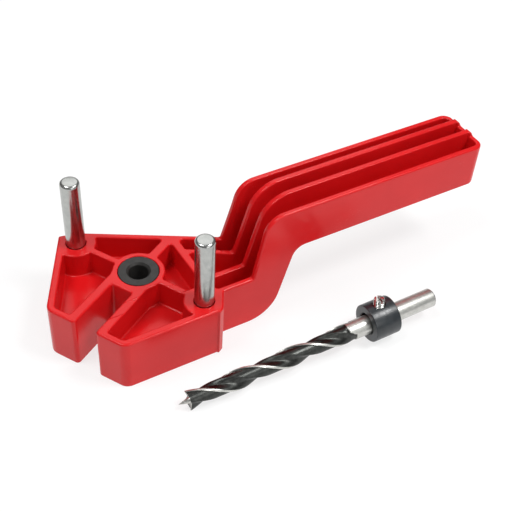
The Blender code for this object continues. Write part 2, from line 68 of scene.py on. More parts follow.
# Head and pockets
NOSE_X, NOSE_HALF, SIDE_Y = -0.0361, 0.0182, 0.0399
SLOT_HALF, SLOT_END_X, SLOT_MOUTH_R, SLOT_END_R = 0.0048, -0.0115, 0.0016, 0.0010
NOSE_R = 0.0048
BACK_REACH, BACK_TURN, SHOULDER_X = 0.0218, math.radians(30.0), 0.0053
CORNER_X = -0.0005                                              # beside the left pin
BEAD_START_X, BEAD_END_X, BEAD_RISE = -0.0020, 0.0007, 0.0008   # beside the right pin
RIB, OUTER_WALL, NOSE_WALL, REAR_WALL, CROSS_WALL = 0.0023, 0.0031, 0.0027, 0.0027, 0.0035
WEB, BUSH_BOSS_R, PIN_BOSS_R, SLOT_WALL_Y = 0.0025, 0.0107, 0.0083, 0.0087
AXIS_RIB_HALF, PIN_RIB_HALF = 0.0021, 0.0014

# Handle
GRIP_TURN = math.radians(-30.7)
GRIP_END_U, NEAR_V, FAR_V = 0.1516, -0.0257, 0.0008
GRIP_LOW, GRIP_HIGH, CROWN = 0.0340, 0.0538, 0.0025
ROOT_TOP_U, RAMP_TOP_RUN, ROOT_LOW_U, RAMP_LOW_RUN = 0.0386, 0.2044, 0.0485, 0.2800
NEAR_RIB_V, FAR_RIB_V, FAR_RIB_ROOT, FAR_SPACE_V = -0.0161, -0.0079, 0.0125, -0.0042
RIB_ROOT_U, RIB_RUN, RIB_BEND_R = 0.0392, 0.2870, 0.0140        # the inner ribs' ramp
FAR_SPACE_START_U = 0.0365

# Drill set
DRILL_R, DRILL_LENGTH, COLLAR_S = 0.0040, 0.1180, 0.0912
FLUTE_LENGTH, RUN_OUT, HELIX_PITCH = 0.0785, 0.0070, 0.0475
LAND_LENGTH, LAND_RUN_OUT, LAND_RELIEF = 0.0755, 0.0008, 0.16
FLUTE_DEPTH, FLUTE_SHAPE = 0.38, 1.3
LAND_START, LAND_HALF, MARGIN = math.radians(155.4), math.radians(42.0), math.radians(13.0)
SPUR_S, GROOVE_S, POINT_R, SHANK_CHAMFER = 0.0039, 0.0050, 0.0015, 0.0008
COLLAR_R, COLLAR_BORE_R, COLLAR_WIDTH, COLLAR_SHIFT = 0.0081, 0.0046, 0.0120, 0.0004
SCREW_R, SCREW_FOOT, SCREW_HEAD = 0.0024, 0.0042, 0.0113
THREAD_PITCH, THREAD_DEPTH, SCREW_CHAMFER = 0.0008, 0.00044, 0.00045
SCREW_SLOT = (0.0008, 0.0080, 0.0026)

# Bush
BUSH_BORE_R, BUSH_MOUTH, BUSH_EDGE = 0.0041, 0.0009, 0.0003

# Moulding radii
TOP_EDGE_R = 0.00085         # outer edges of the work face
LOW_EDGE_R = 0.00035         # outer edges of the rest face
RIM_R = 0.00060              # edges between rib tops and pockets
FLOOR_R = 0.00080            # pocket floors
BOSS_FILLET_R = 0.00080
HOLE_LIP_R = 0.0002
HOLE_GAP = 0.00012           # between the plastic and the pressed-in steel
DRAFT = 0.012                # slope of the pocket walls
POCKET_DEPTH = 0.0110
ARC_STEP = math.radians(9.0)

# Sampling of the body
CELL = 0.00042
LONG_CELL = 0.0025                                  # along the straight part of the grip
FINE_START_U, FINE_END_U, HALF_V = -0.0415, 0.0640, 0.0365
END_RUN, END_CLEAR = 0.008, 0.0015                  # fine again about the end of the grip
FOOT_CLEAR, TOP_CLEAR = 0.00105, 0.0010
BEFORE_U, BEYOND_U, UNDER_Z, OVER_Z = -0.085, 0.170, -0.020, 0.080   # clear of the body
SLOPE_STEP = 0.00001


# ---------------------------------------------------------------- outlines

def rounded(corners):
    """Outline through (x, y) or (x, y, radius) corners, each radius as a tangent arc."""
    points = []
    for i, corner in enumerate(corners):
        here = Vector(corner[:2])
        before = (Vector(corners[i - 1][:2]) - here).normalized()
        after = (Vector(corners[(i + 1) % len(corners)][:2]) - here).normalized()
        if len(corner) == 2:
            points.append(tuple(here))
            continue
        half = before.angle(after) / 2.0
        bisector = (before + after).normalized()
        centre = here + bisector * (corner[2] / math.sin(half))
        start = here + before * (corner[2] / math.tan(half)) - centre
        sweep = math.pi - 2.0 * half
        if before.x * after.y - before.y * after.x > 0.0:
            sweep = -sweep
        steps = max(2, math.ceil(abs(sweep) / ARC_STEP))
        for k in range(steps + 1):
            points.append(tuple(centre + Matrix.Rotation(sweep * k / steps, 2) @ start))
    return points


def to_grip(x, y):
    """Place (u, v) in the grip frame of a place (x, y) in the head frame."""
    cos, sin = math.cos(GRIP_TURN), math.sin(GRIP_TURN)
    return cos * x + sin * y, -sin * x + cos * y


def head_corners(corners):
    """Corners (x, y) or (x, y, radius) of the head frame, in the grip frame."""
    return [(*to_grip(c[0], c[1]), *c[2:]) for c in corners]


def far_line_u(reach, v):
    """Where the line along the back of the head, at that reach from the bush, crosses v."""
    angle = BACK_TURN - GRIP_TURN
    return (reach - v * math.sin(angle)) / math.cos(angle)


def far_line_v(reach, u):
    """Where the same line crosses u."""
    angle = BACK_TURN - GRIP_TURN
    return (reach - u * math.cos(angle)) / math.sin(angle)


def side_line_y(x):
    """Half width of the head, from its nose to its pin corners."""
    return NOSE_HALF + (x - NOSE_X) * (SIDE_Y - NOSE_HALF) / (0.0 - NOSE_X)


def ramp_top_u(z):
    """The sloped face between head and grip: its upper side, its under side, the rib tops."""
    return ROOT_TOP_U + (z - HEAD_THICK) * RAMP_TOP_RUN


def ramp_low_u(z):
    return ROOT_LOW_U + z * RAMP_LOW_RUN


def rib_top_u(z):
    return RIB_ROOT_U + (z - HEAD_THICK) * RIB_RUN


def body_plan():
    """Outline (u, v) of the whole body: sight slot, far side, handle and near side."""
    shoulder_y = (BACK_REACH - SHOULDER_X * math.cos(BACK_TURN)) / math.sin(BACK_TURN)
    slot = head_corners([(NOSE_X, -SLOT_HALF, SLOT_MOUTH_R), (SLOT_END_X, -SLOT_HALF, SLOT_END_R),
                         (SLOT_END_X, SLOT_HALF, SLOT_END_R), (NOSE_X, SLOT_HALF, SLOT_MOUTH_R)])
    far_side = head_corners([(NOSE_X, NOSE_HALF, NOSE_R),
                             (CORNER_X, side_line_y(CORNER_X), 0.0008),
                             (SHOULDER_X, shoulder_y, 0.0030)])
    handle = [(far_line_u(BACK_REACH, FAR_V), FAR_V, 0.0040),
              (GRIP_END_U, FAR_V, 0.0045), (GRIP_END_U, NEAR_V, 0.0045)]
    corner_u, corner_v = to_grip(0.0, -SIDE_Y)
    step_u = corner_u + (NEAR_V - corner_v) / math.tan(BACK_TURN - GRIP_TURN)
    bead_y = side_line_y(BEAD_START_X) + BEAD_RISE
    near_side = [(step_u, NEAR_V, 0.0005),
                 *head_corners([(BEAD_END_X, -bead_y, 0.0008), (BEAD_START_X, -bead_y, 0.0003),
                                (BEAD_START_X, -side_line_y(BEAD_START_X), 0.0003),
                                (NOSE_X, -NOSE_HALF, NOSE_R)])]
    return rounded(slot + far_side + handle + near_side)


def body_side():
    """Outline (u, z) of the body seen from the side, up to the outer walls' tops."""
    end = GRIP_END_U + 0.0004
    return rounded([(BEFORE_U, 0.0), (ROOT_LOW_U, 0.0, 0.0145),
                    (ramp_low_u(GRIP_LOW), GRIP_LOW, 0.0060),
                    (end, GRIP_LOW, 0.0043), (end, GRIP_HIGH, 0.0012),
                    (ramp_top_u(GRIP_HIGH), GRIP_HIGH, 0.0090),
                    (ROOT_TOP_U, HEAD_THICK, 0.0008), (BEFORE_U, HEAD_THICK)])


def crown_side():
    """Outline (u, z) of the inner ribs along the grip, which stand proud of the walls."""
    low, high = GRIP_LOW - CROWN, GRIP_HIGH + CROWN
    end = GRIP_END_U - 0.0004
    return rounded([(ramp_low_u(0.0270) - 0.0004, 0.0270), (ramp_low_u(low), low, 0.0060),
                    (end, low, 0.0030), (end, high, 0.0030),
                    (rib_top_u(high), high, RIB_BEND_R), (rib_top_u(0.0440), 0.0440)])


def rib_space():
    """Outline (u, z) of the space over an inner rib, which leans back more than the walls."""
    high = GRIP_HIGH + CROWN
    return rounded([(BEFORE_U, HEAD_THICK), (RIB_ROOT_U, HEAD_THICK, 0.0008),
                    (rib_top_u(high), high, RIB_BEND_R), (BEYOND_U, high),
                    (BEYOND_U, OVER_Z), (BEFORE_U, OVER_Z)])


def web_side(side):
    """Outline (u, z) of the space above (+1) or below (-1) the mid web."""
    run = (RAMP_TOP_RUN + RAMP_LOW_RUN) / 2.0
    mid_z = (HEAD_THICK + GRIP_LOW) / 2.0
    mid_u = (ramp_top_u(mid_z) + ramp_low_u(mid_z)) / 2.0
    half = side * WEB / 2.0
    face_u = mid_u - half * math.hypot(1.0, run)
    low_z, high_z = HEAD_THICK / 2.0 + half, (GRIP_LOW + GRIP_HIGH) / 2.0 + half
    outside = OVER_Z if side > 0 else UNDER_Z
    return rounded([(BEFORE_U, low_z), (face_u + (low_z - mid_z) * run, low_z, 0.0060),
                    (face_u + (high_z - mid_z) * run, high_z, 0.0060), (BEYOND_U, high_z),
                    (BEYOND_U, outside), (BEFORE_U, outside)])


def pocket_outlines():
    """Four head pockets and three handle channels."""
    drop = OUTER_WALL * math.hypot(1.0, (SIDE_Y - NOSE_HALF) / -NOSE_X)
    nose_x = NOSE_X + NOSE_WALL
    rear = BACK_REACH - REAR_WALL
    rib_end_x = (rear - AXIS_RIB_HALF * math.sin(BACK_TURN)) / math.cos(BACK_TURN)
    rear_y = (rear - PIN_RIB_HALF * math.cos(BACK_TURN)) / math.sin(BACK_TURN)
    front = [(nose_x, SLOT_WALL_Y, 0.0010), (-PIN_RIB_HALF, SLOT_WALL_Y),
             (-PIN_RIB_HALF, side_line_y(-PIN_RIB_HALF) - drop),
             (nose_x, side_line_y(nose_x) - drop, 0.0020)]
    back = [(PIN_RIB_HALF, AXIS_RIB_HALF), (rib_end_x, AXIS_RIB_HALF, 0.0010),
            (PIN_RIB_HALF, rear_y)]
    outlines = []
    for half in (front, back):
        for sign in (1.0, -1.0):
            outlines.append(rounded(head_corners([(c[0], sign * c[1], *c[2:]) for c in half])))

    start = rear + CROSS_WALL
    end, half = GRIP_END_U - RIB, RIB / 2.0
    far_wall, far_v = BACK_REACH - RIB, FAR_V - RIB
    rib_out, rib_in = FAR_RIB_ROOT + half, FAR_RIB_ROOT - half
    rib_top, rib_low = FAR_RIB_V + half, FAR_RIB_V - half
    near_top, near_low = NEAR_RIB_V + half, NEAR_RIB_V - half
    outlines.append(rounded([(start, far_line_v(rib_out, start), 0.0010),
                             (start, far_line_v(far_wall, start), 0.0015),
                             (far_line_u(far_wall, far_v), far_v, 0.0040),
                             (end, far_v, 0.0022), (end, rib_top, 0.0010),
                             (far_line_u(rib_out, rib_top), rib_top, 0.0040)]))
    outlines.append(rounded([(start, near_top, 0.0010),
                             (start, far_line_v(rib_in, start), 0.0010),
                             (far_line_u(rib_in, rib_low), rib_low, 0.0040),
                             (end, rib_low, 0.0010), (end, near_top, 0.0010)]))
    outlines.append(rounded([(start, NEAR_V + RIB, 0.0015), (start, near_low, 0.0010),
                             (end, near_low, 0.0010), (end, NEAR_V + RIB, 0.0022)]))
    return outlines


# ---------------------------------------------------------- distance field

def outline_distance(outline, x, y):
    """Signed distance from points to a closed outline, negative inside."""
    nearest = np.full(np.broadcast(x, y).shape, np.inf)
    inside = np.zeros(nearest.shape, bool)
    for (ax, ay), (bx, by) in zip(outline, outline[1:] + outline[:1]):
        ex, ey = bx - ax, by - ay
        length2 = ex * ex + ey * ey
        if length2 < 1e-18:
            continue
        wx, wy = x - ax, y - ay
        along = np.clip((wx * ex + wy * ey) / length2, 0.0, 1.0)
        np.minimum(nearest, (wx - along * ex) ** 2 + (wy - along * ey) ** 2, out=nearest)
        if ey != 0.0:
            inside ^= ((ay > y) != (by > y)) & (wx < wy * (ex / ey))
    return np.where(inside, -1.0, 1.0) * np.sqrt(nearest)


def smooth_max(a, b, radius):
    """Intersection of two fields whose shared edge is rounded to that radius."""
    corner = np.hypot(np.maximum(a + radius, 0.0), np.maximum(b + radius, 0.0))
    return np.minimum(np.maximum(a, b), -radius) + corner


def smooth_min(a, b, radius):
    """Union of two fields whose inner corner is filleted to that radius."""
    return -smooth_max(-a, -b, radius)


PLAN = body_plan()
SIDES = [body_side(), crown_side(), rib_space(), web_side(1), web_side(-1)]
POCKETS = pocket_outlines()
PINS = [to_grip(0.0, PIN_REACH), to_grip(0.0, -PIN_REACH)]


def plan_fields(u, v):
    """Fields of the plan only: outline, pockets, inner ribs, gaps over them, bush, pins."""
    pockets = np.minimum.reduce([outline_distance(outline, u, v) for outline in POCKETS])
    bush = np.hypot(u, v)
    pins = np.minimum.reduce([np.hypot(u - pu, v - pv) for pu, pv in PINS])
    pockets = smooth_max(pockets, BUSH_BOSS_R - bush, BOSS_FILLET_R)
    pockets = smooth_max(pockets, PIN_BOSS_R - pins, BOSS_FILLET_R)
    near, far = abs(v - NEAR_RIB_V), abs(v - FAR_RIB_V)
    ribs = np.minimum(near, far) - RIB / 2.0 - RIM_R
    far_gap = np.maximum(FAR_RIB_V - v, v - FAR_SPACE_V) - RIB / 2.0
    far_gap = np.maximum(far_gap, FAR_SPACE_START_U - u)
    gaps = np.minimum(near - RIB / 2.0, far_gap) - 2.0 * RIM_R
    return outline_distance(PLAN, u, v), pockets, ribs, gaps, bush, pins


def side_fields(u, z):
    """Fields of the side only: body, crown, space over the ribs, above and below the web."""
    return [outline_distance(outline, u, z) for outline in SIDES]


def join_fields(plan, side, z):
    """Distance field of the whole body."""
    outline, pockets, ribs, gaps, bush, pins = plan
    profile, crown, over, above, below = side
    solid = smooth_max(outline, profile, np.where(above < below, TOP_EDGE_R, LOW_EDGE_R))
    solid = smooth_min(solid, smooth_max(ribs, crown, RIM_R), RIM_R)
    solid = smooth_max(solid, -np.maximum(gaps, over), RIM_R)
    for space in (above, below):
        walls = pockets + DRAFT * (POCKET_DEPTH + space)
        solid = smooth_max(solid, -smooth_max(walls, space, FLOOR_R), RIM_R)
    solid = smooth_max(solid, BUSH_R + HOLE_GAP - bush, HOLE_LIP_R)
    pin_hole = np.maximum(pins - PIN_R - HOLE_GAP, PIN_FOOT - HOLE_GAP - z)
    return smooth_max(solid, -pin_hole, HOLE_LIP_R)


def field_slope(u, v, z):
    """The body field and its gradient at a list of points."""
    next_u, next_v, next_z = u + SLOPE_STEP, v + SLOPE_STEP, z + SLOPE_STEP
    plan, side = plan_fields(u, v), side_fields(u, z)
    value = join_fields(plan, side, z)
    beside = np.stack([join_fields(plan_fields(next_u, v), side_fields(next_u, z), z),
                       join_fields(plan_fields(u, next_v), side, z),
                       join_fields(plan, side_fields(u, next_z), next_z)], axis=1)
    return value, (beside - value[:, None]) / SLOPE_STEP


def surface_net(field, axes):
    """Closed quad mesh where a field sampled on a rectilinear grid changes sign."""
    inside = field < 0.0
    quads, crossings = [], []
    for axis in range(3):
        low, high = [slice(None)] * 3, [slice(None)] * 3
        low[axis], high[axis] = slice(0, -1), slice(1, None)
        index = np.argwhere(inside[tuple(low)] != inside[tuple(high)])
        after = index.copy()
        after[:, axis] += 1
        start, stop = field[tuple(index.T)], field[tuple(after.T)]
        point = np.stack([axes[k][index[:, k]] for k in range(3)], axis=1)
        run = axes[axis][after[:, axis]] - axes[axis][index[:, axis]]
        point[:, axis] += run * start / (start - stop)
        first, second = (axis + 1) % 3, (axis + 2) % 3
        around = []
        for step_first, step_second in ((-1, -1), (0, -1), (0, 0), (-1, 0)):
            cell = index.copy()
            cell[:, first] += step_first
            cell[:, second] += step_second
            around.append(np.ravel_multi_index(cell.T, field.shape))
        around = np.stack(around, axis=1)
        around[start >= 0.0] = around[start >= 0.0][:, ::-1]
        quads.append(around)
        crossings.append(point)
    corners = np.concatenate(quads)
    crossings = np.repeat(np.concatenate(crossings), 4, axis=0)
    _, vertex = np.unique(corners.ravel(), return_inverse=True)
    count = np.bincount(vertex)
    points = np.stack([np.bincount(vertex, crossings[:, k]) / count for k in range(3)], axis=1)
    return points, vertex.reshape(-1, 4)


def make_body():
    """The moulded body: meshed in the grip frame, drawn onto the field, then set in place."""
    fine = np.arange(FINE_START_U, FINE_END_U, CELL)
    coarse = np.arange(fine[-1] + LONG_CELL, GRIP_END_U - END_RUN, LONG_CELL)
    end = np.arange(coarse[-1] + CELL, GRIP_END_U + END_CLEAR, CELL)
    u = np.concatenate([fine, coarse, end])
    v = np.arange(-HALF_V, HALF_V, CELL)
    z = np.arange(-FOOT_CLEAR, GRIP_HIGH + CROWN + TOP_CLEAR, CELL)
    grid_u, grid_v, grid_z = u[:, None, None], v[None, :, None], z[None, None, :]
    field = join_fields(plan_fields(grid_u, grid_v), side_fields(grid_u, grid_z), grid_z)
    points, quads = surface_net(field, (u, v, z))
    for _ in range(2):
        value, slope = field_slope(*points.T)
        size2 = np.maximum((slope ** 2).sum(axis=1), 0.25)
        move = np.clip(value / size2, -CELL, CELL)
        points = points - slope * move[:, None]
    turn = np.array(Matrix.Rotation(GRIP_TURN, 3, "Z")).T
    normals = slope / np.linalg.norm(slope, axis=1)[:, None] @ turn
    mesh = bpy.data.meshes.new("moulded_body")
    mesh.from_pydata(points.tolist(), [], quads.tolist())
    body = add_object("moulded_body", mesh)
    settle(body, Matrix.Translation((BUSH_AXIS.x, BUSH_AXIS.y, 0.0))
           @ Matrix.Rotation(GRIP_TURN, 4, "Z"))
    mesh.shade_smooth()
    mesh.normals_split_custom_set_from_vertices(normals.tolist())
    return body


# ------------------------------------------------------------ steel pieces

def add_object(name, data):
    """New object in the scene, for a mesh, a light or a camera."""
    obj = bpy.data.objects.new(name, data)
    bpy.context.scene.collection.objects.link(obj)
    return obj


def settle(obj, matrix):
    """Moves a piece's mesh to its place.  The attribute "place" keeps the coordinates that it had
    in its own frame, for its finish."""
    own = np.empty(len(obj.data.vertices) * 3, np.float32)
    obj.data.vertices.foreach_get("co", own)
    obj.data.attributes.new("place", "FLOAT_VECTOR", "POINT").data.foreach_set("vector", own)
    obj.data.transform(matrix)
    obj.data.update()


def arc(centre, radius, start, stop, steps=6):
    """Points of an arc in the (radius, height) half plane, from start to stop degrees."""
    points = []
    for k in range(steps + 1):
        angle = math.radians(start + (stop - start) * k / steps)
        points.append((centre[0] + radius * math.cos(angle),
                       centre[1] + radius * math.sin(angle)))
    return points


def lathe(name, profile, steps=128, closed=True):
    """Round piece about Z from (radius, height) points.  A closed profile makes a ring; an open
    one starts and ends on the axis."""
    shape = bmesh.new()
    rings = []
    for radius, height in profile:
        if radius < 1e-7:
            rings.append([shape.verts.new((0.0, 0.0, height))] * steps)
            continue
        rings.append([shape.verts.new((radius * math.cos(2 * math.pi * k / steps),
                                       radius * math.sin(2 * math.pi * k / steps), height))
                      for k in range(steps)])
    pairs = list(zip(rings, rings[1:]))
    if closed:
        pairs.append((rings[-1], rings[0]))
    for upper, lower in pairs:
        for k in range(steps):
            n = (k + 1) % steps
            corners = []
            for vert in (upper[k], lower[k], lower[n], upper[n]):
                if vert not in corners:
                    corners.append(vert)
            if len(corners) > 2:
                shape.faces.new(corners)
    bmesh.ops.recalc_face_normals(shape, faces=shape.faces)
    mesh = bpy.data.meshes.new(name)
    shape.to_mesh(mesh)
    shape.free()
    return add_object(name, mesh)


def loft(shape, rings, name):
    """Piece with quads between rings of vertices, closed at both ends."""
    for below, above in zip(rings, rings[1:]):
        count = len(below)
        for k in range(count):
            n = (k + 1) % count
            shape.faces.new((below[k], below[n], above[n], above[k]))
    shape.faces.new(rings[0][::-1])
    shape.faces.new(rings[-1])
    mesh = bpy.data.meshes.new(name)
    shape.to_mesh(mesh)
    shape.free()
    return add_object(name, mesh)


def crease(obj, degrees=30.0):
    """Smooth shading, but for edges sharper than that."""
    obj.data.shade_smooth()
    obj.data.set_sharp_from_angle(angle=math.radians(degrees))


def carve(obj, cutter):
    """Cuts a closed shape out of a piece, and removes the cutter."""
    cut = obj.modifiers.new("cut", "BOOLEAN")
    cut.operation = "DIFFERENCE"
    cut.solver = "EXACT"
    cut.object = cutter
    graph = bpy.context.evaluated_depsgraph_get()
    mesh = bpy.data.meshes.new_from_object(obj.evaluated_get(graph))
    obj.modifiers.clear()
    obj.data = mesh
    bpy.data.objects.remove(cutter, do_unlink=True)


def make_bush():
    """Bush with countersunk mouths, each broken by a narrow second bevel."""
    mouth_r, bevel_r, bevel_depth = BUSH_BORE_R + BUSH_MOUTH, BUSH_BORE_R + 0.00005, 0.0012
    profile = [(mouth_r, HEAD_THICK - 0.00005)]
    profile += arc((BUSH_R - BUSH_EDGE, HEAD_THICK - BUSH_EDGE), BUSH_EDGE, 90.0, 0.0)
    profile += arc((BUSH_R - BUSH_EDGE, BUSH_EDGE), BUSH_EDGE, 0.0, -90.0)
    profile += [(mouth_r, 0.0), (bevel_r, BUSH_MOUTH), (BUSH_BORE_R, bevel_depth),
                (BUSH_BORE_R, HEAD_THICK - bevel_depth), (bevel_r, HEAD_THICK - BUSH_MOUTH)]
    bush = lathe("turned_bush", profile)
    settle(bush, Matrix.Translation((BUSH_AXIS.x, BUSH_AXIS.y, 0.0)))
    crease(bush)
    return bush


def make_pin(name, node):
    """Round pin with a domed edge at its top, where its CAD node stands."""
    low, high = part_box(node)
    top_edge, foot_edge = 0.0013, 0.0005
    profile = [(0.0, high.z)]
    profile += arc((PIN_R - top_edge, high.z - top_edge), top_edge, 84.0, 0.0, 10)
    profile += [(PIN_R, low.z + foot_edge), (PIN_R - foot_edge, low.z), (0.0, low.z)]
    pin = lathe(name, profile, steps=96, closed=False)
    settle(pin, Matrix.Translation(((low.x + high.x) / 2.0, (low.y + high.y) / 2.0, 0.0)))
    crease(pin)
    return pin


def drill_frame():
    """Drill's frame: its point at the origin, z towards the shank, x along the set screw."""
    screw = JOINTS["set_screw_turn"]
    along = Vector(JOINTS["collar_slide"]["axis"]).normalized()
    out = Vector(screw["axis"])
    out = (out - along * out.dot(along)).normalized()
    frame_matrix = Matrix((out, along.cross(out), along)).transposed().to_4x4()
    return Matrix.Translation(Vector(screw["pos_m"]) - along * COLLAR_S) @ frame_matrix


def section_angles():
    """Angles of a drill section's corners; each half is a margin, a land and a flute."""
    margin = [0.0, 4.0, 8.0, 12.6]
    land = [14.6, 20.0, 28.0, 36.0, 44.0, 52.0, 60.0, 68.0, 76.0, 83.2]
    half = [math.radians(angle) - LAND_HALF for angle in margin + land]
    flute_steps = 26
    half += [LAND_HALF + (math.pi - 2.0 * LAND_HALF) * k / flute_steps for k in range(flute_steps)]
    return half + [angle + math.pi for angle in half]


def section_radius(angle, land_fade, flute_fade):
    """Radius at an angle from the middle of a land; the fades go from 0 to 1."""
    local = (angle + math.pi / 2.0) % math.pi - math.pi / 2.0
    if -LAND_HALF <= local < LAND_HALF:
        behind = local > MARGIN - LAND_HALF
        return DRILL_R * (1.0 - (LAND_RELIEF * land_fade if behind else 0.0))
    run = min(1.0, (local - LAND_HALF) % math.pi / (math.pi - 2.0 * LAND_HALF))
    hollow = FLUTE_DEPTH * max(0.0, math.sin(math.pi * run)) ** FLUTE_SHAPE
    return DRILL_R * (1.0 - LAND_RELIEF * (1.0 - run) * land_fade - hollow * flute_fade)


def make_drill():
    """Lofted drill, with the groove round its centre point cut away so that two spurs stay."""
    shape = bmesh.new()
    angles = section_angles()

    def ring(z, land_fade, flute_fade, shrink=0.0):
        turn = LAND_START + 2.0 * math.pi * min(z, FLUTE_LENGTH) / HELIX_PITCH
        verts = []
        for angle in angles:
            radius = section_radius(angle, land_fade, flute_fade) - shrink
            verts.append(shape.verts.new((radius * math.cos(angle + turn),
                                          radius * math.sin(angle + turn), z)))
        return verts

    rings = []
    ahead, steps = 0.001, 220                   # the blank starts ahead of the point
    for k in range(steps + 1):
        z = -ahead + (FLUTE_LENGTH + ahead) * k / steps
        rise = 1.0 - min(1.0, (FLUTE_LENGTH - z) / RUN_OUT)
        land = min(1.0, max(0.0, (LAND_LENGTH - z) / LAND_RUN_OUT))
        rings.append(ring(z, land, math.sqrt(max(0.0, 1.0 - rise * rise))))
    ease, ease_in = 0.0001, 0.00006             # the chamfer's own rounded edges
    for z, shrink in ((DRILL_LENGTH - SHANK_CHAMFER - ease, 0.0),
                      (DRILL_LENGTH - SHANK_CHAMFER + ease, ease_in),
                      (DRILL_LENGTH - ease, SHANK_CHAMFER - ease_in),
                      (DRILL_LENGTH, SHANK_CHAMFER + ease)):
        rings.append(ring(z, 0.0, 0.0, shrink))
    drill = loft(shape, rings, "brad_point_drill")
    outside, front = DRILL_R + 0.0020, -0.004
    carve(drill, lathe("groove", [(0.0, 0.00001), (POINT_R, GROOVE_S), (DRILL_R, SPUR_S),
                                  (outside, SPUR_S), (outside, front), (0.0, front)],
                       steps=96, closed=False))
    crease(drill, 32.0)
    mark_ground(drill.data)
    settle(drill, drill_frame())
    return drill


def mark_ground(mesh):
    """Point attribute "ground": 1 on bright ground steel, 0 on the dark flutes and lands."""
    co = np.empty(len(mesh.vertices) * 3)
    mesh.vertices.foreach_get("co", co)
    x, y, z = co.reshape(-1, 3).T
    radius = np.hypot(x, y)
    turn = LAND_START + 2.0 * math.pi * np.minimum(z, FLUTE_LENGTH) / HELIX_PITCH
    local = (np.arctan2(y, x) - turn + math.pi / 2.0) % math.pi - math.pi / 2.0
    margin = (abs(local + LAND_HALF - MARGIN / 2.0) < 0.51 * MARGIN) & (radius > 0.98 * DRILL_R)
    shank = (z > LAND_LENGTH - 0.0002) & (radius > 0.985 * DRILL_R)
    point = (radius < POINT_R + 0.0002) & (z < GROOVE_S + 0.0001)
    ground = mesh.attributes.new("ground", "FLOAT", "POINT")
    ground.data.foreach_set("value", (margin | shank | point).astype(np.float32))


def make_collar():
    """Stop ring with eased edges and a countersunk hole for its screw."""
    half, edge = COLLAR_WIDTH / 2.0, 0.0004
    outer = [(COLLAR_R - edge, half)] + arc((COLLAR_R - edge, half - edge), edge, 75.0, 0.0, 4)
    outer += arc((COLLAR_R - edge, edge - half), edge, 0.0, -75.0, 4) + [(COLLAR_R - edge, -half)]
    inner = [(COLLAR_BORE_R + edge, -half), (COLLAR_BORE_R, edge - half),
             (COLLAR_BORE_R, half - edge), (COLLAR_BORE_R + edge, half)]
    collar = lathe("stop_ring", outer + inner, steps=160)
    hole_r, top, foot = SCREW_R + 0.00015, 0.0120, 0.0030
    cutter = lathe("screw_hole", [(0.0, top), (hole_r + 0.0030, top),
                                  (hole_r + 0.0003, COLLAR_R - 0.0001),
                                  (hole_r, COLLAR_R - 0.0006),
                                  (hole_r, foot), (0.0, foot)], steps=64, closed=False)
    cutter.rotation_euler = (0.0, math.pi / 2.0, 0.0)
    bpy.context.view_layer.update()
    carve(collar, cutter)
    crease(collar)
    settle(collar, drill_frame() @ Matrix.Translation((COLLAR_SHIFT, 0.0, COLLAR_S)))
    return collar


def make_screw():
    """Slotted set screw with its thread cut into it."""
    sides, layer = 72, 0.00007
    shape = bmesh.new()
    rings = []
    for z in np.arange(SCREW_FOOT, SCREW_HEAD - 0.00003, layer):
        chamfer_r = SCREW_R - max(0.0, SCREW_CHAMFER - min(SCREW_HEAD - z, z - SCREW_FOOT))
        verts = []
        for k in range(sides):
            angle = 2.0 * math.pi * k / sides
            phase = (z / THREAD_PITCH - angle / (2.0 * math.pi)) % 1.0
            thread_r = SCREW_R - THREAD_DEPTH * min(1.0, 1.15 * abs(2.0 * phase - 1.0))
            radius = min(thread_r, chamfer_r)
            verts.append(shape.verts.new((radius * math.cos(angle),
                                          radius * math.sin(angle), z)))
        rings.append(verts)
    screw = loft(shape, rings, "threaded_set_screw")
    slot = bmesh.new()
    bmesh.ops.create_cube(slot, size=1.0)
    bmesh.ops.scale(slot, vec=SCREW_SLOT, verts=slot.verts)
    slot_mesh = bpy.data.meshes.new("slot")
    slot.to_mesh(slot_mesh)
    slot.free()
    cutter = add_object("slot", slot_mesh)
    cutter.location = (0.0, 0.0, SCREW_HEAD)
    bpy.context.view_layer.update()
    carve(screw, cutter)
    crease(screw, 50.0)
    settle(screw, drill_frame() @ Matrix.Translation((0.0, 0.0, COLLAR_S))
           @ Matrix.Rotation(math.pi / 2.0, 4, "Y"))
    return screw


# --------------------------------------------------------------- materials

